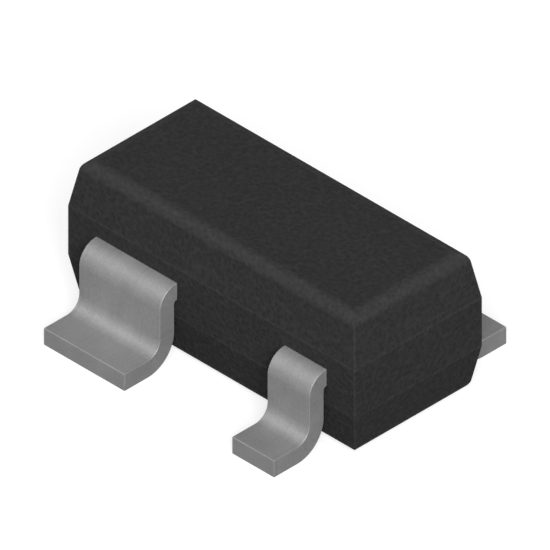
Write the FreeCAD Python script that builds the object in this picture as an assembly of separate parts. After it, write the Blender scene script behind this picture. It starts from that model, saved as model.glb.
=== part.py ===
"""Voltage supervisor in a small surface-mount package with four gull-wing leads, one of them wide.

The part stands on its feet at z = 0, with +Z up, the long side of the moulding along X and the
origin under the middle of the moulding. The wide ground lead is at -X, -Y, and the others follow
anticlockwise seen from above: reset at +X, -Y, manual reset at +X, +Y and supply at -X, +Y.
All lengths are in millimetres.
"""
import FreeCAD, Part
import math
import os

V = FreeCAD.Vector

# Moulding
BODY_LENGTH = 2.92
BODY_WIDTH = 1.30
STANDOFF = 0.01
LOWER_DRAFT_HEIGHT = 0.383
BAND_HEIGHT = 0.425
UPPER_DRAFT_HEIGHT = 0.402
DRAFT_ANGLE = 10.0
EDGE_RADIUS = 0.10
EJECTOR_MARK_DIAMETER = 0.50
EJECTOR_MARK_DEPTH = 0.015

# Leads outside the moulding
LEAD_THICKNESS = 0.15
NARROW_LEAD_WIDTH = 0.43
WIDE_LEAD_WIDTH = 0.825
LEAD_PITCH = 1.92
WIDE_LEAD_SHIFT = 0.20
SHOULDER_BEND_RADIUS = 0.025
FOOT_BEND_RADIUS = 0.125
FOOT_LENGTH = 0.235

# Lead frame inside the moulding
FRAME_GAP = 0.15
LEAD_ENTRY_DEPTH = 0.12
HEAD_STEP = 0.10
SUPPLY_HEAD_DEPTH = 0.18
PADDLE_COVER = 0.23
LOCK_HOLE_DIAMETER = 0.15
LOCK_NOTCH_RADIUS = 0.06

# Chip and its attachment
DIE_LENGTH = 0.72
DIE_WIDTH = 0.46
DIE_THICKNESS = 0.20
ATTACH_THICKNESS = 0.02
ATTACH_MARGIN = 0.02
BOND_PAD_SIZE = 0.09
BOND_PAD_DEPTH = 0.002
BOND_PAD_INSET = 0.08

# Bond wires
WIRE_DIAMETER = 0.025
BALL_DIAMETER = 0.07
BALL_HEIGHT = 0.018
NECK_HEIGHT = 0.012
LOOP_HEIGHT = 0.13
LOOP_BEND_RADIUS = 0.04
BEND_STEP_ANGLE = 30.0
LOOP_FLAT_SHARE = 0.30
STITCH_LENGTH = 0.06
STITCH_WIDTH = 0.05
STITCH_THICKNESS = 0.008
STITCH_INSET = 0.11

# Heights that several pieces share
BODY_BOTTOM = STANDOFF
BAND_BOTTOM = BODY_BOTTOM + LOWER_DRAFT_HEIGHT
BAND_TOP = BAND_BOTTOM + BAND_HEIGHT
BODY_TOP = BAND_TOP + UPPER_DRAFT_HEIGHT
FRAME_BOTTOM = (BODY_BOTTOM + BODY_TOP) / 2 - LEAD_THICKNESS / 2
FRAME_TOP = FRAME_BOTTOM + LEAD_THICKNESS
DIE_BOTTOM = FRAME_TOP + ATTACH_THICKNESS
DIE_TOP = DIE_BOTTOM + DIE_THICKNESS

# Places in plan that several pieces share
SIDE = BODY_WIDTH / 2
NARROW_LEAD_X = LEAD_PITCH / 2
WIDE_LEAD_X = -LEAD_PITCH / 2 + WIDE_LEAD_SHIFT
HEAD_INNER_X = NARROW_LEAD_X - NARROW_LEAD_WIDTH / 2 - HEAD_STEP
HEAD_OUTER_X = NARROW_LEAD_X + NARROW_LEAD_WIDTH / 2
SUPPLY_HEAD_Y = SIDE - LEAD_ENTRY_DEPTH - SUPPLY_HEAD_DEPTH
PADDLE_LEFT = WIDE_LEAD_X - WIDE_LEAD_WIDTH / 2
PADDLE_RIGHT = HEAD_INNER_X - FRAME_GAP
PADDLE_FRONT = -SIDE + PADDLE_COVER
PADDLE_BACK = SUPPLY_HEAD_Y - FRAME_GAP
DIE_X = (PADDLE_LEFT + PADDLE_RIGHT) / 2
DIE_Y = (PADDLE_FRONT + PADDLE_BACK) / 2


def arc(start, middle, end):
    """Circular edge through three points."""
    return Part.Arc(start, middle, end).toShape()


def line(start, end):
    """Straight edge between two points."""
    return Part.LineSegment(start, end).toShape()


def plate(left, right, front, back, bottom, top):
    """Rectangular block given by its six sides."""
    return Part.makeBox(right - left, back - front, top - bottom, V(left, front, bottom))


def moulding_section(half_width, place):
    """Section of the moulding: drafted above and below an upright band, round at the top and bottom.

    place turns (distance from the middle, height) into a point, so one section serves both directions.
    """
    draft = math.radians(DRAFT_ANGLE)
    trim = EDGE_RADIUS * math.tan((math.pi / 2 - draft) / 2)
    middle_angle = (math.pi / 2 + draft) / 2

    def rounded_corner(side, edge, level):
        """Three points of the round between the drafted side and the flat face at that level."""
        corner = half_width - abs(level - edge) * math.tan(draft)
        up = 1 if level > edge else -1
        centre = (corner - trim, level - up * EDGE_RADIUS)
        points = [
            (corner + trim * math.sin(draft), level - up * trim * math.cos(draft)),
            (
                centre[0] + EDGE_RADIUS * math.cos(middle_angle),
                centre[1] + up * EDGE_RADIUS * math.sin(middle_angle),
            ),
            (corner - trim, level),
        ]
        return [place(side * u, w) for u, w in points]

    right_top = rounded_corner(1, BAND_TOP, BODY_TOP)
    left_top = rounded_corner(-1, BAND_TOP, BODY_TOP)
    left_bottom = rounded_corner(-1, BAND_BOTTOM, BODY_BOTTOM)
    right_bottom = rounded_corner(1, BAND_BOTTOM, BODY_BOTTOM)
    band = {
        (side, height): place(side * half_width, height)
        for side in (1, -1)
        for height in (BAND_BOTTOM, BAND_TOP)
    }
    edges = [
        line(band[1, BAND_BOTTOM], band[1, BAND_TOP]),
        line(band[1, BAND_TOP], right_top[0]),
        arc(*right_top),
        line(right_top[2], left_top[2]),
        arc(*reversed(left_top)),
        line(left_top[0], band[-1, BAND_TOP]),
        line(band[-1, BAND_TOP], band[-1, BAND_BOTTOM]),
        line(band[-1, BAND_BOTTOM], left_bottom[0]),
        arc(*left_bottom),
        line(left_bottom[2], right_bottom[2]),
        arc(*reversed(right_bottom)),
        line(right_bottom[0], band[1, BAND_BOTTOM]),
    ]
    return Part.Face(Part.Wire(edges))


def moulding():
    """Outer form of the moulding, where its long and its cross section pass through each other.

    The rounds along the four top and bottom edges then meet in mitres, as in a milled mould.
    """
    long_section = moulding_section(BODY_LENGTH / 2, lambda u, w: V(u, -BODY_WIDTH / 2, w))
    cross_section = moulding_section(BODY_WIDTH / 2, lambda u, w: V(-BODY_LENGTH / 2, u, w))
    along = cross_section.extrude(V(BODY_LENGTH, 0, 0))
    across = long_section.extrude(V(0, BODY_WIDTH, 0))
    mark = Part.makeCylinder(EJECTOR_MARK_DIAMETER / 2, EJECTOR_MARK_DEPTH, V(0, 0, BODY_BOTTOM))
    return along.common(across).cut(mark)


def formed_lead(left, right):
    """Outside run of a lead on the -Y side: out of the moulding, down two bends and along the board."""
    outer_radius = SHOULDER_BEND_RADIUS + LEAD_THICKNESS
    heel_radius = FOOT_BEND_RADIUS + LEAD_THICKNESS
    shoulder = (SIDE, FRAME_BOTTOM - SHOULDER_BEND_RADIUS)
    ankle = (SIDE + outer_radius + FOOT_BEND_RADIUS, heel_radius)
    toe = ankle[0] + FOOT_LENGTH
    slant = math.sqrt(0.5)

    def at(centre, radius, out, up):
        """Point at a radius from a bend's centre, on the -Y side of the moulding."""
        return V(left, -(centre[0] + radius * out), centre[1] + radius * up)

    upper = [at(shoulder, outer_radius, *d) for d in ((0, 1), (slant, slant), (1, 0))]
    instep = [at(ankle, FOOT_BEND_RADIUS, *d) for d in ((-1, 0), (-slant, -slant), (0, -1))]
    heel = [at(ankle, heel_radius, *d) for d in ((0, -1), (-slant, -slant), (-1, 0))]
    under = [at(shoulder, SHOULDER_BEND_RADIUS, *d) for d in ((1, 0), (slant, slant), (0, 1))]
    toe_top = V(left, -toe, LEAD_THICKNESS)
    toe_bottom = V(left, -toe, 0)
    edges = [
        arc(*upper),
        line(upper[2], instep[0]),
        arc(*instep),
        line(instep[2], toe_top),
        line(toe_top, toe_bottom),
        line(toe_bottom, heel[0]),
        arc(*heel),
        line(heel[2], under[0]),
        arc(*under),
        line(under[2], upper[0]),
    ]
    return Part.Face(Part.Wire(edges)).extrude(V(right - left, 0, 0))


def mirrored(shape, normal):
    """Copy of a shape on the other side of the middle plane with that normal."""
    return shape.mirror(V(0, 0, 0), normal)


def narrow_lead(head_y):
    """Narrow lead at +X, -Y whose head inside the moulding ends at y = -head_y.

    The head is wider than the lead behind a shoulder, so the lead can't be pulled out of the moulding.
    """
    left = NARROW_LEAD_X - NARROW_LEAD_WIDTH / 2
    neck = plate(left, HEAD_OUTER_X, -SIDE, -SIDE + LEAD_ENTRY_DEPTH, FRAME_BOTTOM, FRAME_TOP)
    head = plate(HEAD_INNER_X, HEAD_OUTER_X, -SIDE + LEAD_ENTRY_DEPTH, -head_y, FRAME_BOTTOM, FRAME_TOP)
    return formed_lead(left, HEAD_OUTER_X).fuse([neck, head]).removeSplitter()


def signal_lead():
    """Reset or manual reset lead: a long head that nearly reaches its twin, with a hole for the moulding."""
    tip_y = FRAME_GAP / 2
    hole_y = -(SIDE - LEAD_ENTRY_DEPTH + tip_y) / 2
    place = V(NARROW_LEAD_X, hole_y, FRAME_BOTTOM)
    return narrow_lead(tip_y).cut(Part.makeCylinder(LOCK_HOLE_DIAMETER / 2, LEAD_THICKNESS, place))


def ground_lead():
    """Wide lead and the paddle that carries the chip, stamped and formed as one, notched on both sides."""
    left = WIDE_LEAD_X - WIDE_LEAD_WIDTH / 2
    right = WIDE_LEAD_X + WIDE_LEAD_WIDTH / 2
    neck = plate(left, right, -SIDE, PADDLE_FRONT, FRAME_BOTTOM, FRAME_TOP)
    paddle = plate(PADDLE_LEFT, PADDLE_RIGHT, PADDLE_FRONT, PADDLE_BACK, FRAME_BOTTOM, FRAME_TOP)
    notches = [
        Part.makeCylinder(LOCK_NOTCH_RADIUS, LEAD_THICKNESS, V(x, -SIDE + PADDLE_COVER / 2, FRAME_BOTTOM))
        for x in (left, right)
    ]
    return formed_lead(left, right).fuse([neck, paddle]).removeSplitter().cut(notches)


def square_plate(middle, length, width, bottom, top):
    """Rectangular block centred in plan on a point."""
    left, front = middle.x - length / 2, middle.y - width / 2
    return plate(left, left + length, front, front + width, bottom, top)


def die_attach():
    """Thin bed of silver-filled adhesive under the chip, a little larger than it."""
    length = DIE_LENGTH + 2 * ATTACH_MARGIN
    width = DIE_WIDTH + 2 * ATTACH_MARGIN
    return square_plate(V(DIE_X, DIE_Y), length, width, FRAME_TOP, DIE_BOTTOM)


def bond_pad(right, back):
    """Middle of the bond pad in one corner of the chip, with right and back +1 or -1."""
    return V(
        DIE_X + right * (DIE_LENGTH / 2 - BOND_PAD_INSET),
        DIE_Y + back * (DIE_WIDTH / 2 - BOND_PAD_INSET),
        DIE_TOP - BOND_PAD_DEPTH,
    )


def silicon_die():
    """Sawn chip with a shallow window in its top coat over each bond pad."""
    pads = [bond_pad(right, back) for right in (-1, 1) for back in (-1, 1)]
    windows = [square_plate(pad, BOND_PAD_SIZE, BOND_PAD_SIZE, pad.z, DIE_TOP) for pad in pads]
    return square_plate(V(DIE_X, DIE_Y), DIE_LENGTH, DIE_WIDTH, DIE_BOTTOM, DIE_TOP).cut(windows)


def bent_rod(points, bend_radius, rod_radius):
    """Round rod along straight runs, each bend between them of that radius in short mitred steps."""
    path = [points[0]]
    for before, corner, after in zip(points, points[1:], points[2:]):
        back = (before - corner).normalize()
        ahead = (after - corner).normalize()
        half_turn = (math.pi - back.getAngle(ahead)) / 2
        trim = bend_radius * math.tan(half_turn)
        sagitta = bend_radius / math.cos(half_turn) - bend_radius
        middle = corner + (back + ahead).normalize() * sagitta
        steps = math.ceil(math.degrees(2 * half_turn) / BEND_STEP_ANGLE)
        path += Part.Arc(corner + back * trim, middle, corner + ahead * trim).discretize(steps + 1)
    path.append(points[-1])
    section = Part.Wire(Part.makeCircle(rod_radius, path[0], path[1] - path[0]))
    mitred = 1
    return Part.makePolygon(path).makePipeShell([section], True, False, mitred)


def bonded_ball(pad):
    """Squashed ball on a bond pad, with a cone that narrows to the wire, turned about the pad's axis."""
    ball, wire = BALL_DIAMETER / 2, WIRE_DIAMETER / 2
    neck_top = BALL_HEIGHT + NECK_HEIGHT
    profile = [(0, 0), (ball, 0), (ball, BALL_HEIGHT), (wire, neck_top), (0, neck_top), (0, 0)]
    outline = Part.makePolygon([pad + V(radius, 0, height) for radius, height in profile])
    return Part.Face(outline).revolve(pad, V(0, 0, 1), 360)


def pressed_stitch(landing, ahead):
    """Flattened end of a wire on the lead frame, square at the heel and round at the tail."""
    aside = V(0, 0, 1).cross(ahead) * (STITCH_WIDTH / 2)
    heel = landing - ahead * (STITCH_LENGTH / 2)
    tail = landing + ahead * (STITCH_LENGTH / 2)
    outline = [
        line(heel - aside, tail - aside),
        arc(tail - aside, tail + ahead * (STITCH_WIDTH / 2), tail + aside),
        line(tail + aside, heel + aside),
        line(heel + aside, heel - aside),
    ]
    return Part.Face(Part.Wire(outline)).extrude(V(0, 0, STITCH_THICKNESS))


def bond_wire(pad, landing):
    """Gold wire from a ball on a bond pad, up, over in a low loop and down to a stitch on the lead frame."""
    start = pad + V(0, 0, BALL_HEIGHT)
    crest = V(pad.x, pad.y, DIE_TOP + LOOP_HEIGHT)
    reach = V(landing.x - pad.x, landing.y - pad.y, 0)
    bend = crest + reach * LOOP_FLAT_SHARE
    descent = landing - bend
    overrun = landing + descent * (WIRE_DIAMETER / abs(descent.z))
    rod = bent_rod([start, crest, bend, overrun], LOOP_BEND_RADIUS, WIRE_DIAMETER / 2)
    stitch = pressed_stitch(landing, reach / reach.Length)
    lead_metal = Part.makeCylinder(reach.Length, LEAD_THICKNESS, landing, V(0, 0, -1))
    return rod.fuse([bonded_ball(pad), stitch]).cut(lead_metal)


def bond_wires():
    """The four wires by name, each from its pad on the chip to its stitch on the lead frame."""
    head_x = HEAD_INNER_X + STITCH_INSET
    paddle_x = (PADDLE_LEFT + DIE_X - DIE_LENGTH / 2) / 2
    front_y = bond_pad(-1, -1).y
    manual_reset_y = FRAME_GAP / 2 + STITCH_INSET
    supply_y = SUPPLY_HEAD_Y + STITCH_INSET
    return {
        "ground_bond_wire": bond_wire(bond_pad(-1, -1), V(paddle_x, front_y, FRAME_TOP)),
        "reset_bond_wire": bond_wire(bond_pad(1, -1), V(head_x, front_y, FRAME_TOP)),
        "manual_reset_bond_wire": bond_wire(bond_pad(1, 1), V(head_x, manual_reset_y, FRAME_TOP)),
        "supply_bond_wire": bond_wire(bond_pad(-1, 1), V(-head_x, supply_y, FRAME_TOP)),
    }


def pieces():
    """Every piece of the part by name. The moulding comes last, as it takes the form of all it holds."""
    signal = signal_lead()
    held = {
        "ground_lead": ground_lead(),
        "reset_lead": signal,
        "manual_reset_lead": mirrored(signal, V(0, 1, 0)),
        "supply_lead": mirrored(mirrored(narrow_lead(SUPPLY_HEAD_Y), V(0, 1, 0)), V(1, 0, 0)),
        "die_attach": die_attach(),
        "silicon_die": silicon_die(),
        **bond_wires(),
    }
    return {"moulded_body": moulding().cut(list(held.values())), **held}


os.makedirs("parts", exist_ok=True)
for name, shape in pieces().items():
    shape.exportStep(f"parts/{name}.step")
    print(f"{name}: {len(shape.Solids)} solid, {shape.Volume:.5f} mm3, valid {shape.isValid()}")
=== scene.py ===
"""Looks of a small surface-mount voltage supervisor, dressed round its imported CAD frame.

Every shape is worked out in millimetres in the frame of the CAD model: +Z up from the board, the
long side of the moulding along X. It turns into metres only when its piece is made.
"""
import math

import bpy
import numpy as np
from mathutils import Matrix, Vector

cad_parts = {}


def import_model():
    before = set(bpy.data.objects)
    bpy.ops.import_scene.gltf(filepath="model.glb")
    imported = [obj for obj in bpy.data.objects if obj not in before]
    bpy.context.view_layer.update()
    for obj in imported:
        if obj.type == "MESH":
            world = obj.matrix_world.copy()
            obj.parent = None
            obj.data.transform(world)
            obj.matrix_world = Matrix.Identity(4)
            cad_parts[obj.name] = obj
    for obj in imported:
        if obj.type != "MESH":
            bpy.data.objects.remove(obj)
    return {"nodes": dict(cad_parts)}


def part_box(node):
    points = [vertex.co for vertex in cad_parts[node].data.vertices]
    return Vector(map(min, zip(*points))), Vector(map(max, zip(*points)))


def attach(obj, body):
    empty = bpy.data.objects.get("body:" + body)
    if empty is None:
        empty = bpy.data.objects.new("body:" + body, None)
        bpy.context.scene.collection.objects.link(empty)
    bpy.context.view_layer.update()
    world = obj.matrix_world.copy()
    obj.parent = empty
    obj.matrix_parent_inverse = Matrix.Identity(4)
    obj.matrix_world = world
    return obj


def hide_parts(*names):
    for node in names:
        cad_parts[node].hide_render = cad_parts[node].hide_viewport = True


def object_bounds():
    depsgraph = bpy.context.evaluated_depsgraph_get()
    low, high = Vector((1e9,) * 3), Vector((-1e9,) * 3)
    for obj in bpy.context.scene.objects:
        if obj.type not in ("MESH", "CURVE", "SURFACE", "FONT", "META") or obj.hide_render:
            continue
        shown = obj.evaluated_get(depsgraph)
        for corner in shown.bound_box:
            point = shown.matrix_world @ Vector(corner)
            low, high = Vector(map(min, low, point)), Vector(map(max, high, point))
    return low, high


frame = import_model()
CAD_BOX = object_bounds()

MM = 0.001
DECIMALS = 6  # kept of a length in millimetres
SLACK = 1e-6  # that keeps a whole number of steps from being rounded up

# Moulding, with an ejector mark in its underside
LOWER_DRAFT_HEIGHT = 0.383
BAND_HEIGHT = 0.425
DRAFT_ANGLE = math.radians(10)
RIM_RADIUS = 0.10
BAND_EDGE_RADIUS = 0.015
CORNER_RADIUS = 0.006
MARK_RADIUS = 0.25
MARK_DEPTH = 0.015
MARK_EDGE_RADIUS = 0.005

# Leads, with the bend radii at the middle of the metal and the depths from the moulding's side
LEAD_THICKNESS = 0.15
NARROW_LEAD_WIDTH = 0.43
WIDE_LEAD_WIDTH = 0.825
FOOT_RUN = 0.235
FOOT_BEND_RADIUS = 0.20
SHOULDER_BEND_RADIUS = 0.10
LEAD_EDGE_RADIUS = 0.008
ENTRY_DEPTH = 0.12
PADDLE_DEPTH = 0.23
LOCK_HOLE_RADIUS = 0.075
LOCK_NOTCH_RADIUS = 0.06

# Chip and bond wires, with each inset from the nearest edge of the chip or of the lead
BOND_PAD_INSET = 0.08
BOND_PAD_SIZE = 0.09
BOND_PAD_DEPTH = 0.002
WIRE_DIAMETER = 0.025
BALL_DIAMETER = 0.07
BALL_HEIGHT = 0.018
BALL_ROUNDING = 0.12  # how much narrower its top and its foot are, as a share
NECK_HEIGHT = 0.012
LOOP_HEIGHT = 0.13
LOOP_BEND_RADIUS = 0.04
LOOP_FLAT_SHARE = 0.30  # of the way from the pad to the stitch, in plan
STITCH_LENGTH = 0.06
STITCH_WIDTH = 0.05
STITCH_THICKNESS = 0.008
STITCH_INSET = 0.11
TAIL_HALF_WIDTH = 0.001  # at the very end of the stitch's tail

# Fineness of the surfaces
ARC_STEP = math.radians(6)
CORNER_STEP = math.radians(12)
COLUMN_STEP = math.radians(6)
SLIGHT_TURN = ARC_STEP / 10  # less than this is as good as straight
SHARP_TURN = math.radians(40)  # more than this is an edge
EDGE_MARGIN = 0.012  # from an arc to the point that keeps the flat beside it flat
FLAT_INSET = 0.32  # from the moulding's side to the last row of points on a flat
MARK_FIRST_ROW = 0.125  # radius of the first row of points round the mark's middle
MARK_LAST_ROW = 0.275
BEND_STEPS = 24
BLANK_STEP = 0.03
HOLE_REACH = 1.5  # half the side of the square of cells round a hole, over the hole's radius
HOLE_RINGS = 3
EDGE_SEGMENTS = 3
WIRE_COLUMNS = 20
BALL_ROWS = 9
NECK_ROWS = 5
TAIL_ROWS = 7

# Wear and painted highlight, as how far an edge of each kind is painted paler: part rubbed, part a
# painted highlight
RIM_RUB_AND_HIGHLIGHT = 0.35
BAND_EDGE_RUB_AND_HIGHLIGHT = 1.0
CORNER_RUB_AND_HIGHLIGHT = 0.35

# Colours
WHITE = (1, 1, 1, 1)
EPOXY_BLACK = (0.0264, 0.0263, 0.0261)
FILLER_GREY = (0.06, 0.059, 0.057, 1)
TIN_GREY = (0.275, 0.275, 0.275)
GOLD = (0.83, 0.60, 0.24)
SILVER_ADHESIVE = (0.55, 0.54, 0.51)
SAWN_SILICON = (0.16, 0.16, 0.17)
TOP_COAT_BLUE = (0.045, 0.060, 0.085, 1)
TOP_COAT_VIOLET = (0.075, 0.070, 0.095, 1)
BARE_PAD = (0.80, 0.80, 0.78, 1)

# Light, floor and camera
AMBIENT_LEVEL = 0.08
SKY_GLOSSY_SHARE = 0.12
FLOOR_GLOSSY_SHARE = 0.08
FLOOR_GREY = (0.08, 0.08, 0.08, 1)
FLOOR_GLOW = 1.1
FLOOR_GLOW_SHARE = 0.6
FLOOR_HALF_SIZE = 150.0
FLOOR_GAP = 0.002
IMAGE_PIXELS = 550
PIXELS_PER_MM = 138.9
CAMERA_AZIMUTH = 45
CAMERA_ELEVATION = math.degrees(math.atan(math.sqrt(0.5)))
CAMERA_DISTANCE = 30.0
CAMERA_NEAREST = 1.0
CAMERA_FURTHEST = 1000.0
LAMP_DISTANCE = 20.0


def box_mm(node):
    """Lowest and highest corner of a CAD node, in millimetres."""
    return [np.round(np.array(corner) / MM, DECIMALS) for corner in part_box(node)]


# Places taken from the CAD nodes
BODY_LOW, BODY_HIGH = box_mm("moulded_body")
GROUND_LOW, GROUND_HIGH = box_mm("ground_lead")
RESET_LOW, RESET_HIGH = box_mm("reset_lead")
MANUAL_RESET_LOW = box_mm("manual_reset_lead")[0]
SUPPLY_LOW = box_mm("supply_lead")[0]
DIE_LOW, DIE_HIGH = box_mm("silicon_die")

HALF_SIZE = (BODY_HIGH - BODY_LOW)[:2] / 2
SIDE = HALF_SIZE[1]
BODY_BOTTOM, BODY_TOP = BODY_LOW[2], BODY_HIGH[2]
DIE_TOP = DIE_HIGH[2]
DIE_MIDDLE = (DIE_LOW + DIE_HIGH)[:2] / 2
PAD_SPREAD = (DIE_HIGH - DIE_LOW)[:2] / 2 - BOND_PAD_INSET
FRAME_TOP = RESET_HIGH[2]
UPRIGHT_RUN = FRAME_TOP - LEAD_THICKNESS - FOOT_BEND_RADIUS - SHOULDER_BEND_RADIUS
UPRIGHT_START = FOOT_RUN + FOOT_BEND_RADIUS * math.pi / 2
SHOULDER_START = UPRIGHT_START + UPRIGHT_RUN
OUTSIDE_RUN = SHOULDER_START + SHOULDER_BEND_RADIUS * math.pi / 2


# Shapes in general

def unit(vectors):
    """Vectors of length 1 in the same directions."""
    return vectors / np.linalg.norm(vectors, axis=-1, keepdims=True)


def rounded(corners, radii, margin=EDGE_MARGIN):
    """Path through corners, in which each inner one gives way to an arc tangent to both runs.

    With t the turn at the corner, the arc starts radius * tan(t / 2) before it, and its point at
    angle a is centre + radius * (sin(a) * ahead - cos(a) * inward), for a from 0 to t. A point on
    either straight, the margin away from the arc, keeps the shading of the flat beside it flat.
    """
    corners = np.asarray(corners, float)
    path = [corners[:1]]
    for before, corner, after, radius in zip(corners, corners[1:], corners[2:], radii):
        ahead, beyond = unit(corner - before), unit(after - corner)
        turn = math.acos(np.clip(ahead @ beyond, -1, 1))
        inward = unit(beyond - ahead * (ahead @ beyond))
        centre = corner - ahead * radius * math.tan(turn / 2) + inward * radius
        angle = np.linspace(0, turn, math.ceil(turn / ARC_STEP) + 1)[:, None]
        arc = centre + radius * (np.sin(angle) * ahead - np.cos(angle) * inward)
        path += [arc[:1] - margin * ahead, arc, arc[-1:] + margin * beyond]
    path.append(corners[-1:])
    return np.concatenate(path)


def at_heights(plan, heights):
    """Rows of points from their plan and the height of each row."""
    height = np.broadcast_to(heights[:, None, None], (*plan.shape[:2], 1))
    return np.concatenate([plan, height], -1)


def closed_skin(rows, first_pole, last_pole):
    """Points and faces of rows that each go right round, shut by a fan of triangles at either end.

    The points of a row go anticlockwise seen from the last pole, so the faces point outwards.
    """
    count, columns = rows.shape[:2]
    index = np.arange(count * columns).reshape(count, columns)
    beside = np.roll(index, -1, axis=1)
    quads = np.stack([index[:-1], beside[:-1], beside[1:], index[1:]], -1).reshape(-1, 4)
    first, last = np.full(columns, index.size), np.full(columns, index.size + 1)
    first_fan = np.stack([first, beside[0], index[0]], -1)
    last_fan = np.stack([last, index[-1], beside[-1]], -1)
    points = np.concatenate([rows.reshape(-1, 3), [first_pole, last_pole]])
    return points, [*quads.tolist(), *first_fan.tolist(), *last_fan.tolist()]


# Pieces

def carry_map(mesh, uv):
    """Gives a mesh the map called blank, from the place of each point on the flat."""
    corner = np.empty(len(mesh.loops), int)
    mesh.loops.foreach_get("vertex_index", corner)
    layer = mesh.uv_layers.new(name="blank")
    layer.data.foreach_set("uv", uv[corner].astype(np.float32).ravel())


def carry_share(mesh, name, values):
    """Gives a mesh a number from 0 to 1 at each point."""
    attribute = mesh.attributes.new(name, "FLOAT", "POINT")
    attribute.data.foreach_set("value", values.astype(np.float32))


def piece(name, skin, finishes, stands_for, modifiers=(), uv=None, rub_and_highlight=None):
    """Piece of the object: a mesh finished in millimetres, then brought to metres and made to ride.

    Modifiers are applied before the change of unit, because they stop at lengths near a micrometre.
    """
    points, faces = skin
    mesh = bpy.data.meshes.new(name)
    mesh.from_pydata(points.tolist(), [], faces)
    mesh.shade_smooth()
    if uv is not None:
        carry_map(mesh, uv)
    # Share of each point painted paler, part wear and part a painted highlight
    if rub_and_highlight is not None:
        carry_share(mesh, "rub_and_highlight", rub_and_highlight)
    for finish in finishes:
        mesh.materials.append(finish)
    draft = bpy.data.objects.new(name + "_draft", mesh)
    bpy.context.scene.collection.objects.link(draft)
    for kind, settings in (*modifiers, ("WEIGHTED_NORMAL", {})):
        modifier = draft.modifiers.new(kind, kind)
        for setting, value in settings.items():
            setattr(modifier, setting, value)
    drawn = draft.evaluated_get(bpy.context.evaluated_depsgraph_get())
    finished = bpy.data.meshes.new_from_object(drawn)
    finished.transform(Matrix.Scale(MM, 4))
    finished.name = name
    bpy.data.objects.remove(draft)
    bpy.data.meshes.remove(mesh)
    obj = bpy.data.objects.new(name, finished)
    bpy.context.scene.collection.objects.link(obj)
    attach(obj, "root")
    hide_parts(stands_for)


# Shader maths and materials

class Field:
    """Output of a shader node. Python's operators on it add Math nodes."""

    def __init__(self, nodes, socket):
        self.nodes, self.socket = nodes, socket

    def math(self, operation, *values):
        """Math node of that operation on the values."""
        return self.nodes.add("Math", {"operation": operation}, dict(enumerate(values)))

    def __add__(self, other):
        return self.math("ADD", self, other)

    def __radd__(self, other):
        return self.math("ADD", other, self)

    def __sub__(self, other):
        return self.math("SUBTRACT", self, other)

    def __rsub__(self, other):
        return self.math("SUBTRACT", other, self)

    def __mul__(self, other):
        return self.math("MULTIPLY", self, other)

    def __rmul__(self, other):
        return self.math("MULTIPLY", other, self)

    def __lt__(self, other):
        return self.math("LESS_THAN", self, other)

    def __gt__(self, other):
        return self.math("GREATER_THAN", self, other)

    def size(self):
        """How far the value is from 0."""
        return self.math("ABSOLUTE", self)

    def swing(self, amount, middle=0.5):
        """How far the value is above or below its middle, times that amount."""
        return (self - middle) * amount

    def between(self, low, high):
        """Smooth step from 0 at low to 1 at high, which falls where low is above high."""
        limits = {"Value": self, "From Min": low, "From Max": high}
        return self.nodes.add("MapRange", {"interpolation_type": "SMOOTHSTEP"}, limits)


class Nodes:
    """Node tree of a material or of the world."""

    def __init__(self, owner):
        owner.use_nodes = True
        self.tree = owner.node_tree
        self.tree.nodes.clear()

    def socket(self, sockets, key):
        """Socket by its number, or by its name among those that the settings leave in use."""
        if isinstance(key, int):
            return sockets[key]
        return next(s for s in sockets if s.enabled and s.name == key)

    def add(self, kind, settings, inputs, output=0):
        """Node of a kind, with its settings set first, then the values or links of its sockets."""
        node = self.tree.nodes.new("ShaderNode" + kind)
        for setting, value in settings.items():
            setattr(node, setting, value)
        for key, value in inputs.items():
            socket = self.socket(node.inputs, key)
            if isinstance(value, Field):
                self.tree.links.new(value.socket, socket)
            else:
                socket.default_value = value
        return Field(self, self.socket(node.outputs, output)) if node.outputs else None

    def object_mm(self):
        """Place on the object, in millimetres."""
        place = self.add("TexCoord", {}, {}, "Object")
        return self.scaled(place, 1 / MM)

    def parts(self, vector):
        """The three numbers of a vector."""
        x = self.add("SeparateXYZ", {}, {"Vector": vector})
        return [Field(self, socket) for socket in x.socket.node.outputs]

    def share(self, name):
        """Number from 0 to 1 that the mesh carries at its points."""
        return self.add("Attribute", {"attribute_name": name}, {}, "Fac")

    def scaled(self, vector, by):
        """Vector or colour times a number or a field."""
        return self.add("VectorMath", {"operation": "SCALE"}, {0: vector, "Scale": by})

    def stretched(self, vector, by):
        """Vector times another, axis by axis."""
        return self.add("VectorMath", {"operation": "MULTIPLY"}, {0: vector, 1: by})

    def noise(self, place, per_mm, detail, roughness):
        """Cloudy noise about 0.5, with that many features to the millimetre."""
        inputs = {"Vector": place, "Scale": per_mm, "Detail": detail, "Roughness": roughness}
        return self.add("TexNoise", {}, inputs)

    def cells(self, place, per_mm, feature="F1"):
        """Distance to the nearest of the points scattered in space, in steps of their spacing."""
        return self.add("TexVoronoi", {"feature": feature}, {"Vector": place, "Scale": per_mm})

    def mixed(self, factor, first, second):
        """Colour that goes from the first to the second as the factor goes from 0 to 1."""
        inputs = {"Factor": factor, "A": first, "B": second}
        return self.add("Mix", {"data_type": "RGBA"}, inputs, "Result")

    def relief(self, height, depth):
        """Normal of a surface whose height of 0 to 1 stands for that depth, in millimetres."""
        return self.add("Bump", {}, {"Height": height, "Distance": depth * MM, "Strength": 1.0})

    def shade(self, base_color, roughness, normal, metallic=0.0, specular=0.5):
        """Principled surface that ends a material's tree."""
        inputs = {
            "Base Color": base_color,
            "Roughness": roughness,
            "Normal": normal,
            "Metallic": metallic,
            "Specular IOR Level": specular,
        }
        surface = self.add("BsdfPrincipled", {}, inputs)
        self.add("OutputMaterial", {}, {"Surface": surface})


def new_material(name):
    """Empty material and the node tree that it is drawn in."""
    material = bpy.data.materials.new(name)
    return material, Nodes(material)


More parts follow.
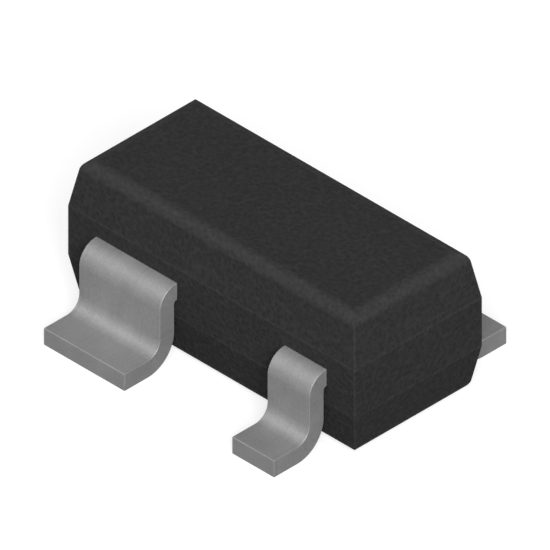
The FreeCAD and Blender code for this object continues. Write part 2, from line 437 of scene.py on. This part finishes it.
def moulding_compound():
    """Black filled epoxy with the spark-eroded grain of its mould, with painted shade in the grain's
    pits, and edges painted paler, part wear and part a painted highlight.
    """
    material, nodes = new_material("moulding_compound")
    place = nodes.object_mm()
    craters = nodes.cells(place, per_mm=30.0, feature="SMOOTH_F1")
    grain = nodes.noise(place, per_mm=48.0, detail=3.0, roughness=0.7)
    cloud = nodes.noise(place, per_mm=2.2, detail=3.0, roughness=0.55)
    filler = nodes.cells(place, per_mm=22.0).between(0.18, 0.08)
    # Share of each edge painted paler: part wear, part a painted highlight
    rub_and_highlight = nodes.share("rub_and_highlight")
    # Tone follows the relief as painted shade, darker in the pits and lighter on the rises; the cloud's
    # tone is random
    tone_and_pit_shade = cloud.swing(0.16) + craters.swing(0.6, middle=0.35) + grain.swing(0.6)
    level = 0.94 + tone_and_pit_shade + rub_and_highlight * (0.3 + grain * 0.7)
    base = nodes.mixed(filler * 0.3, nodes.scaled(EPOXY_BLACK, level), FILLER_GREY)
    roughness = 0.60 + cloud.swing(0.10) + grain.swing(0.10)
    relief = nodes.relief(craters * 0.6 + grain * 0.4, depth=0.010)
    nodes.shade(base, roughness, relief, specular=0.06)
    return material


def tin_plate(name, lines_across, lines_along):
    """Matte tin: fine crystal grain over the lines that the strip's rolling or cutting left.

    The map called blank holds millimetres across and along the strip, so lines follow its bends.
    """
    material, nodes = new_material(name)
    place = nodes.object_mm()
    blank = nodes.add("UVMap", {"uv_map": "blank"}, {})
    on_strip = nodes.stretched(blank, (lines_across, lines_along, 0.0))
    lines = nodes.noise(on_strip, per_mm=1.0, detail=2.0, roughness=0.6)
    grain = nodes.noise(place, per_mm=60.0, detail=2.0, roughness=0.6)
    cloud = nodes.noise(place, per_mm=5.0, detail=3.0, roughness=0.5)
    level = 1.0 + cloud.swing(0.24) + grain.swing(0.40) + lines.swing(0.26)
    roughness = 0.54 + cloud.swing(0.14) + lines.swing(0.12)
    relief = nodes.relief(grain * 0.5 + lines * 0.5, depth=0.0018)
    nodes.shade(nodes.scaled(TIN_GREY, level), roughness, relief, metallic=0.4)
    return material


def grained(name, color, variation, per_mm, roughness, metallic, depth):
    """Finish of a small inner piece, with a fine grain of that many features to the millimetre."""
    material, nodes = new_material(name)
    grain = nodes.noise(nodes.object_mm(), per_mm, detail=3.0, roughness=0.6)
    base = nodes.scaled(color, 1.0 + grain.swing(variation))
    nodes.shade(base, roughness + grain.swing(0.2), nodes.relief(grain, depth), metallic)
    return material


def sawn_silicon():
    """Chip with a glassy top coat, bare metal in the pad windows and the saw's lines on its sides.

    A point of the top is in a window where, along X and along Y, its distance from the chip's middle
    is within half a pad of the pads' own.
    """
    material, nodes = new_material("sawn_silicon")
    place = nodes.object_mm()
    x, y, z = nodes.parts(place)
    top = z > DIE_TOP - 2 * BOND_PAD_DEPTH
    window = top
    for along, middle, spread in zip((x, y), DIE_MIDDLE, PAD_SPREAD):
        window = window * (((along - middle).size() - spread).size() < BOND_PAD_SIZE / 2)
    level_lines = nodes.stretched(place, (4.0, 4.0, 160.0))
    saw = nodes.noise(level_lines, per_mm=1.0, detail=2.0, roughness=0.6)
    cloud = nodes.noise(place, per_mm=9.0, detail=3.0, roughness=0.5)
    coat = nodes.mixed(cloud, TOP_COAT_BLUE, TOP_COAT_VIOLET)
    cut = nodes.scaled(SAWN_SILICON, 0.7 + saw * 0.6)
    base = nodes.mixed(window, nodes.mixed(top, cut, coat), BARE_PAD)
    roughness = 0.42 - top * 0.22 + window * 0.12 + saw.swing(0.2)
    relief = nodes.relief(saw * (1 - top), depth=0.0008)
    nodes.shade(base, roughness, relief, metallic=0.85)
    return material


# The moulding

def outline_columns():
    """Columns of the moulding's outline: their shares, outward directions, and 1 on a corner.

    A point of the outline is share * (half size - radius) + radius * direction, with the corners'
    radius. Along a side the shares are even in angle about the middle, as on a circle.
    """
    inner = HALF_SIZE - FLAT_INSET
    turn = np.linspace(0, math.pi / 2, math.ceil(math.pi / 2 / CORNER_STEP) + 1)
    bend = np.stack([np.cos(turn), np.sin(turn)], -1)
    quarter_turn = np.array([[0, 1], [-1, 0]])
    shares, directions, corner = [], [], []
    for quarter in range(4):
        along = quarter % 2
        half_angle = math.atan(inner[1 - along] / inner[along])
        steps = math.ceil(2 * half_angle / COLUMN_STEP)
        even = np.tan(np.linspace(-half_angle, half_angle, steps + 1)[1:-1]) / math.tan(half_angle)
        near_corner = 1 - EDGE_MARGIN / HALF_SIZE[1 - along]
        side = np.concatenate([[-near_corner], even, [near_corner]])
        spin = np.linalg.matrix_power(quarter_turn, quarter)
        flat = np.stack([np.ones_like(side), side], -1)
        shares += [flat @ spin, np.ones((len(turn), 2)) @ spin]
        directions += [np.tile([1.0, 0.0], (len(side), 1)) @ spin, bend @ spin]
        corner += [np.zeros(len(side)), np.ones(len(turn))]
    return np.concatenate(shares), np.concatenate(directions), np.concatenate(corner)


def moulding_section():
    """Section of the moulding as (inset, height), from the underside's flat round to the top's."""
    band_bottom = BODY_BOTTOM + LOWER_DRAFT_HEIGHT
    band_top = band_bottom + BAND_HEIGHT
    slope = math.tan(DRAFT_ANGLE)
    corners = [
        (FLAT_INSET, BODY_BOTTOM),
        (LOWER_DRAFT_HEIGHT * slope, BODY_BOTTOM),
        (0, band_bottom),
        (0, band_top),
        ((BODY_TOP - band_top) * slope, BODY_TOP),
        (FLAT_INSET, BODY_TOP),
    ]
    return rounded(corners, [RIM_RADIUS, BAND_EDGE_RADIUS, BAND_EDGE_RADIUS, RIM_RADIUS])


def mark_section():
    """Section of the round ejector mark in the underside, as (radius, height) from its floor out."""
    floor = BODY_BOTTOM + MARK_DEPTH
    wall = [(MARK_RADIUS, floor), (MARK_RADIUS, BODY_BOTTOM)]
    corners = [(MARK_FIRST_ROW, floor), *wall, (MARK_LAST_ROW, BODY_BOTTOM)]
    return rounded(corners, [MARK_EDGE_RADIUS] * 2, margin=MARK_EDGE_RADIUS / 3)


def bend_share(path):
    """How far each point of a path lies in a bend, by its turn there, from 0 to 1 in an arc."""
    steps = unit(np.diff(path, axis=0))
    turn = np.arccos(np.clip((steps[:-1] * steps[1:]).sum(1), -1, 1))
    usual = np.median(turn[turn > SLIGHT_TURN])
    return np.pad(np.minimum(turn / usual, 1), 1)


def edge_rub_and_highlight(section, corner):
    """How much each point of the moulding is painted paler, by the rim, band edge or corner it lies on:
    part wear, part a painted highlight.
    """
    height = section[:, 1]
    rim = (height < BODY_BOTTOM + RIM_RADIUS) | (height > BODY_TOP - RIM_RADIUS)
    row_rub_and_highlight = bend_share(section) * np.where(rim, RIM_RUB_AND_HIGHLIGHT, BAND_EDGE_RUB_AND_HIGHLIGHT)
    upright = (height > BODY_BOTTOM + EDGE_MARGIN) & (height < BODY_TOP - EDGE_MARGIN)
    return np.maximum(row_rub_and_highlight[:, None], upright[:, None] * corner * CORNER_RUB_AND_HIGHLIGHT)


def moulding(finish):
    """Moulded body: its section from the underside to the top, carried round a mitred outline.

    A row at inset d is share * (half size - d - radius) + radius * direction, with the corners' radius.
    The rows of the ejector mark are circles, whose points lie in the directions of the first row's.
    """
    section, mark = moulding_section(), mark_section()
    shares, directions, corner = outline_columns()
    reach = HALF_SIZE - section[:, 0, None, None] - CORNER_RADIUS
    plan = shares * reach + CORNER_RADIUS * directions
    circles = mark[:, 0, None, None] * unit(plan[0])
    rows = np.concatenate([at_heights(circles, mark[:, 1]), at_heights(plan, section[:, 1])])
    skin = closed_skin(rows, (0, 0, BODY_BOTTOM + MARK_DEPTH), (0, 0, BODY_TOP))
    # Edges painted paler, part wear and part a painted highlight; the mark's rows and the two poles get
    # none
    no_rub_or_highlight = np.zeros(len(mark) * len(corner))
    rub_and_highlight = np.concatenate([no_rub_or_highlight, edge_rub_and_highlight(section, corner).ravel(), [0, 0]])
    piece("moulding", skin, [finish], "moulded_body", rub_and_highlight=rub_and_highlight)


# The leads

def formed(blank):
    """Places of a flat blank's points once it is bent into a gull wing on the -Y side.

    The run along the metal is shared out in turn: foot, foot bend, upright, shoulder bend, and the rest
    inside. At angle a, a bend moves on by radius * sin(a) and aside by radius * (1 - cos(a)).
    """
    across, run = blank.T
    foot = np.clip(run, 0, FOOT_RUN)
    ankle = np.clip((run - FOOT_RUN) / FOOT_BEND_RADIUS, 0, math.pi / 2)
    upright = np.clip(run - UPRIGHT_START, 0, UPRIGHT_RUN)
    shoulder = np.clip((run - SHOULDER_START) / SHOULDER_BEND_RADIUS, 0, math.pi / 2)
    inside = np.clip(run - OUTSIDE_RUN, 0, None)
    toe = SIDE + SHOULDER_BEND_RADIUS + FOOT_BEND_RADIUS + FOOT_RUN
    heel = toe - foot - FOOT_BEND_RADIUS * np.sin(ankle)
    out = heel - SHOULDER_BEND_RADIUS * (1 - np.cos(shoulder)) - inside
    up = FOOT_BEND_RADIUS * (1 - np.cos(ankle)) + upright + SHOULDER_BEND_RADIUS * np.sin(shoulder)
    return np.stack([across, -out, LEAD_THICKNESS / 2 + up], -1)


def lines_between(stops, step):
    """Lines through every stop, with even ones between them at most a step apart."""
    stops = np.unique(np.round(stops, DECIMALS))
    runs = [
        np.linspace(a, b, math.ceil((b - a) / step - SLACK), endpoint=False)
        for a, b in zip(stops, stops[1:])
    ]
    return np.concatenate([*runs, stops[-1:]])


def quads_between(rows):
    """Cells between neighbouring points of a grid, as four corners each."""
    corners = [rows[:-1, :-1], rows[1:, :-1], rows[1:, 1:], rows[:-1, 1:]]
    return np.stack(corners, 2).reshape(-1, 4, rows.shape[-1])


def hole_cells(centre, radius, reach):
    """Cells between a circle and a square round it, on lines that run away from their centre.

    With q a point of the square, a ring's point is q + (radius * q / |q| - q) * share, and the share
    goes from 1 on the circle to 0 on the square.
    """
    steps = 2 * math.ceil(reach / BLANK_STEP - SLACK)
    side = np.linspace(-1, 1, steps + 1)[:-1]
    ones = np.ones(steps)
    corners = [(side, -ones), (ones, side), (-side, ones), (-ones, -side)]
    square = reach * np.concatenate([np.stack(pair, -1) for pair in corners])
    square = np.concatenate([square, square[:1]])
    share = np.linspace(1, 0, HOLE_RINGS + 1)[:, None, None]
    return quads_between(centre + square + (radius * unit(square) - square) * share)


def within(middle, rectangles):
    """Whether each point lies in any of the rectangles, each given as (left, right, start, end)."""
    x, run = middle.T
    return np.any([(x > a) & (x < b) & (run > c) & (run < d) for a, b, c, d in rectangles], axis=0)


def lead_blank(rectangles, holes):
    """Flat blank of a lead: the cells inside any of its rectangles, with rings round its holes.

    A rectangle is (left, right, start, end) and a hole (across, along, radius). A hole on an edge is a
    notch, because cells outside the rectangles are left out.
    """
    foot_bend = np.linspace(FOOT_RUN, UPRIGHT_START, BEND_STEPS + 1)
    shoulder_bend = np.linspace(SHOULDER_START, OUTSIDE_RUN, BEND_STEPS + 1)
    across = [edge for rectangle in rectangles for edge in rectangle[:2]]
    along = [edge for rectangle in rectangles for edge in rectangle[2:]]
    for x, run, radius in holes:
        reach = HOLE_REACH * radius
        across += [x - reach, x, x + reach]
        along += [run - reach, run, run + reach]
    columns = lines_between(across, BLANK_STEP)
    rows = lines_between([*foot_bend, *shoulder_bend, *along], BLANK_STEP)
    quads = quads_between(np.stack(np.meshgrid(columns, rows, indexing="ij"), -1))
    rings = []
    for x, run, radius in holes:
        reach = HOLE_REACH * radius
        beside = np.abs(quads.mean(1) - (x, run)).max(1) > reach
        quads = quads[beside]
        rings.append(hole_cells(np.array([x, run]), radius, reach))
    quads = np.concatenate([quads, *rings])
    kept = quads[within(quads.mean(1), rectangles)]
    kept = np.round(kept.reshape(-1, 2), DECIMALS)
    points, index = np.unique(kept, axis=0, return_inverse=True)
    return points, index.reshape(-1, 4)


def narrow_blank(head_depth, holes=()):
    """Blank of the narrow lead at +X, whose head widens towards the middle inside the moulding."""
    right = RESET_HIGH[0]
    entry = OUTSIDE_RUN + ENTRY_DEPTH
    strip = (right - NARROW_LEAD_WIDTH, right, 0, entry)
    head = (RESET_LOW[0], right, entry, OUTSIDE_RUN + head_depth)
    return lead_blank([strip, head], holes)


def signal_blank():
    """Blank of the reset and manual reset leads, with a locking hole in the middle of the head."""
    head_depth = SIDE + RESET_HIGH[1]
    x = RESET_HIGH[0] - NARROW_LEAD_WIDTH / 2
    run = OUTSIDE_RUN + (ENTRY_DEPTH + head_depth) / 2
    return narrow_blank(head_depth, [(x, run, LOCK_HOLE_RADIUS)])


def ground_blank():
    """Blank of the wide lead, which widens inside the moulding into the paddle under the chip."""
    left, right = GROUND_LOW[0], GROUND_LOW[0] + WIDE_LEAD_WIDTH
    paddle_start = OUTSIDE_RUN + PADDLE_DEPTH
    neck = (left, right, 0, paddle_start)
    paddle = (left, GROUND_HIGH[0], paddle_start, OUTSIDE_RUN + SIDE + GROUND_HIGH[1])
    notches = [(x, OUTSIDE_RUN + PADDLE_DEPTH / 2, LOCK_NOTCH_RADIUS) for x in (left, right)]
    return lead_blank([neck, paddle], notches)


def leads(faces_finish, sides_finish):
    """The four leads: each blank is formed on the -Y side and then mirrored to its own corner."""
    thicken = {
        "thickness": LEAD_THICKNESS,
        "offset": 0.0,
        "use_even_offset": True,
        "use_quality_normals": True,
        "material_offset_rim": 1,
    }
    ease = {
        "width": LEAD_EDGE_RADIUS,
        "segments": EDGE_SEGMENTS,
        "limit_method": "ANGLE",
        "angle_limit": SHARP_TURN,
    }
    signal = signal_blank()
    shapes = {
        "ground_lead": (ground_blank(), (1, 1)),
        "reset_lead": (signal, (1, 1)),
        "manual_reset_lead": (signal, (1, -1)),
        "supply_lead": (narrow_blank(SIDE - SUPPLY_LOW[1]), (-1, -1)),
    }
    for node, ((blank, cells), (side_x, side_y)) in shapes.items():
        points = formed(blank) * (side_x, side_y, 1)
        order = cells if side_x * side_y < 0 else cells[:, ::-1]
        skin = (points, order.tolist())
        modifiers = [("SOLIDIFY", thicken), ("BEVEL", ease)]
        finishes = [faces_finish, sides_finish]
        piece("formed_" + node, skin, finishes, node, modifiers, blank)


# The bond wires and the chip

def wire_route(pad, landing):
    """Middle line of a wire: up from its pad, along its loop's flat, down and along its stitch."""
    reach = np.array([*(landing - pad)[:2], 0.0])
    crest = np.array([*pad[:2], DIE_TOP + LOOP_HEIGHT])
    heel = landing + (0, 0, STITCH_THICKNESS / 2)
    tail = heel + unit(reach) * (STITCH_LENGTH + STITCH_WIDTH) / 2
    corners = [pad, crest, crest + reach * LOOP_FLAT_SHARE, heel, tail]
    return rounded(corners, [LOOP_BEND_RADIUS] * 3)


def wire_halves(way):
    """Half width and half height of a wire's section at each distance along it.

    At height h of a ball as high as H and of radius R, they are R * (1 - rounding * |2h / H - 1| ** 4).
    In the neck they fall to the wire's radius with the cube of the height that is left. At its other
    end the wire thins evenly to the pressed stitch, whose tail is half a circle in plan.
    """
    wire = WIRE_DIAMETER / 2
    ball = BALL_DIAMETER / 2 * (1 - BALL_ROUNDING * np.abs(2 * way / BALL_HEIGHT - 1) ** 4)
    neck_left = np.clip(1 - (way - BALL_HEIGHT) / NECK_HEIGHT, 0, 1)
    neck = wire + (BALL_DIAMETER / 2 * (1 - BALL_ROUNDING) - wire) * neck_left**3
    whole = np.where(way < BALL_HEIGHT, ball, neck)
    left = way[-1] - way
    tail = np.sqrt(np.clip(STITCH_WIDTH * left - left**2, TAIL_HALF_WIDTH**2, None))
    stitch = np.where(left < STITCH_WIDTH / 2, tail, STITCH_WIDTH / 2)
    thickening = np.clip((left - STITCH_LENGTH - STITCH_WIDTH / 2) / WIRE_DIAMETER, 0, 1)
    half_width = stitch + (whole - stitch) * thickening
    half_height = STITCH_THICKNESS / 2 + (whole - STITCH_THICKNESS / 2) * thickening
    return half_width, half_height


def bond_wire(pad, landing):
    """Skin of a gold wire from the ball on its bond pad to the stitch on its lead.

    A point is route(s) + half width(s) * cos(a) * aside + half height(s) * sin(a) * across, with s
    the way along the route and a the angle round it.
    """
    route = wire_route(pad, landing)
    way = np.pad(np.cumsum(np.linalg.norm(np.diff(route, axis=0), axis=1)), (1, 0))
    ball = np.linspace(0, BALL_HEIGHT, BALL_ROWS)
    neck = BALL_HEIGHT + np.linspace(0, NECK_HEIGHT, NECK_ROWS)
    tail = STITCH_WIDTH / 2 * (1 - np.cos(np.linspace(0, math.pi / 2, TAIL_ROWS)))
    pressed = STITCH_LENGTH + STITCH_WIDTH / 2 + np.linspace(0, WIRE_DIAMETER, 2)
    stations = [way, ball, neck, way[-1] - tail, way[-1] - pressed]
    stations = np.unique(np.round(np.concatenate(stations), DECIMALS))
    path = np.stack([np.interp(stations, way, axis) for axis in route.T], -1)
    aside = np.cross((0, 0, 1), unit((landing - pad) * (1, 1, 0)))
    across = np.cross(unit(np.gradient(path, stations, axis=0)), aside)
    half_width, half_height = wire_halves(stations)
    angle = np.linspace(0, 2 * math.pi, WIRE_COLUMNS, endpoint=False)[:, None]
    widthwise = half_width[:, None, None] * np.cos(angle) * aside
    heightwise = half_height[:, None, None] * np.sin(angle) * across[:, None]
    return closed_skin(path[:, None] + widthwise + heightwise, path[0], path[-1])


def bond_wires(finish):
    """The four wires, each from a corner pad of the chip to the nearest edge of its own lead."""
    head_x = RESET_LOW[0] + STITCH_INSET
    beside_chip = (GROUND_LOW[0] + DIE_LOW[0]) / 2
    front = DIE_MIDDLE[1] - PAD_SPREAD[1]
    runs = {
        "ground_bond_wire": ((-1, -1), (beside_chip, front)),
        "reset_bond_wire": ((1, -1), (head_x, front)),
        "manual_reset_bond_wire": ((1, 1), (head_x, MANUAL_RESET_LOW[1] + STITCH_INSET)),
        "supply_bond_wire": ((-1, 1), (-head_x, SUPPLY_LOW[1] + STITCH_INSET)),
    }
    for node, (corner, stitch) in runs.items():
        pad = np.array([*(DIE_MIDDLE + PAD_SPREAD * corner), DIE_TOP - BOND_PAD_DEPTH])
        landing = np.array([*stitch, FRAME_TOP])
        piece("drawn_" + node, bond_wire(pad, landing), [finish], node)


def paint(node, material):
    """Gives a CAD node that stays in view its finish."""
    obj = frame["nodes"][node]
    obj.data.materials.clear()
    obj.data.materials.append(material)


# Light, floor and camera

def shown_directly(nodes, glossy_share):
    """1 to the camera, also through something clear, that share in a gloss, and 0 to other rays."""
    rays = ("Is Camera Ray", "Is Transmission Ray", "Is Glossy Ray")
    straight, clear, glossy = (nodes.add("LightPath", {}, {}, ray) for ray in rays)
    seen = straight.math("MAXIMUM", straight, clear)
    return seen.math("MAXIMUM", seen, glossy * glossy_share)


def world():
    """Even grey light from all round, which shows as white."""
    sky = bpy.data.worlds.new("studio")
    bpy.context.scene.world = sky
    nodes = Nodes(sky)
    light = nodes.add("Background", {}, {"Color": WHITE, "Strength": AMBIENT_LEVEL})
    plain = nodes.add("Background", {}, {"Color": WHITE, "Strength": 1.0})
    seen = shown_directly(nodes, SKY_GLOSSY_SHARE)
    mix = nodes.add("MixShader", {}, {0: seen, 1: light, 2: plain})
    nodes.add("OutputWorld", {}, {"Surface": mix})


def floor_paper():
    """Dim to the light, glowing white with a soft shadow to the camera, and clear from below."""
    material, nodes = new_material("floor_paper")
    dim = nodes.add("BsdfDiffuse", {}, {"Color": FLOOR_GREY})
    paper = nodes.add("BsdfDiffuse", {}, {"Color": WHITE})
    glow = nodes.add("Emission", {}, {"Color": WHITE, "Strength": FLOOR_GLOW})
    clear = nodes.add("BsdfTransparent", {}, {"Color": WHITE})
    from_below = nodes.add("NewGeometry", {}, {}, "Backfacing")
    bright = nodes.add("MixShader", {}, {0: FLOOR_GLOW_SHARE, 1: paper, 2: glow})
    seen = shown_directly(nodes, FLOOR_GLOSSY_SHARE)
    top = nodes.add("MixShader", {}, {0: seen, 1: dim, 2: bright})
    mix = nodes.add("MixShader", {}, {0: from_below, 1: top, 2: clear})
    nodes.add("OutputMaterial", {}, {"Surface": mix})
    return material


def floor():
    """Square floor just under the feet. It casts no shadow, so a lamp from below gets through."""
    half, level = FLOOR_HALF_SIZE * MM, -FLOOR_GAP * MM
    corners = [(-half, -half), (half, -half), (half, half), (-half, half)]
    mesh = bpy.data.meshes.new("floor")
    mesh.from_pydata([(x, y, level) for x, y in corners], [], [(0, 1, 2, 3)])
    mesh.materials.append(floor_paper())
    obj = bpy.data.objects.new("floor", mesh)
    obj.visible_shadow = False
    bpy.context.scene.collection.objects.link(obj)


def aimed(name, data, azimuth, elevation, distance, target):
    """Lamp or camera at that azimuth (0 at -Y), elevation and distance, looking at the target."""
    turn, tilt = math.radians(azimuth), math.radians(elevation)
    level = math.cos(tilt)
    back = Vector((math.sin(turn) * level, -math.cos(turn) * level, math.sin(tilt)))
    obj = bpy.data.objects.new(name, data)
    bpy.context.scene.collection.objects.link(obj)
    obj.location = target + back * distance * MM
    obj.rotation_mode = "QUATERNION"
    obj.rotation_quaternion = (-back).to_track_quat("-Z", "Y")
    return obj


def lamp(name, azimuth, elevation, strength, spread):
    """Soft distant lamp that shines on the object from that side."""
    light = bpy.data.lights.new(name, "SUN")
    light.energy = strength
    light.angle = math.radians(spread)
    aimed(name, light, azimuth, elevation, LAMP_DISTANCE, Vector((0, 0, 0)))


def camera():
    """Camera of a parallel view down the diagonal of a cube, on the middle of the CAD box."""
    data = bpy.data.cameras.new("camera")
    data.type = "ORTHO"
    data.ortho_scale = IMAGE_PIXELS / PIXELS_PER_MM * MM
    data.clip_start, data.clip_end = CAMERA_NEAREST * MM, CAMERA_FURTHEST * MM
    middle = (CAD_BOX[0] + CAD_BOX[1]) / 2
    obj = aimed("camera", data, CAMERA_AZIMUTH, CAMERA_ELEVATION, CAMERA_DISTANCE, middle)
    bpy.context.scene.camera = obj


# The dressed part
rolled_tin = tin_plate("matte_tin", lines_across=55.0, lines_along=1.4)
sheared_tin = tin_plate("sheared_tin", lines_across=4.0, lines_along=60.0)
gold = grained(
    "bond_gold", GOLD,
    variation=0.1, per_mm=60.0, roughness=0.25, metallic=1.0, depth=0.0004,
)
adhesive = grained(
    "silver_adhesive", SILVER_ADHESIVE,
    variation=0.5, per_mm=120.0, roughness=0.5, metallic=0.6, depth=0.003,
)
moulding(moulding_compound())
leads(rolled_tin, sheared_tin)
bond_wires(gold)
paint("silicon_die", sawn_silicon())
paint("die_attach", adhesive)

# Its surroundings
camera()
world()
floor()
lamp("key", azimuth=50, elevation=33, strength=4.4, spread=35)
lamp("left", azimuth=-40, elevation=42, strength=0.6, spread=35)
lamp("behind", azimuth=168, elevation=5, strength=1.6, spread=45)
lamp("aside", azimuth=-84, elevation=5, strength=1.6, spread=45)
lamp("below", azimuth=-135, elevation=-55, strength=2.0, spread=50)
bpy.context.scene.view_settings.view_transform = "Standard"
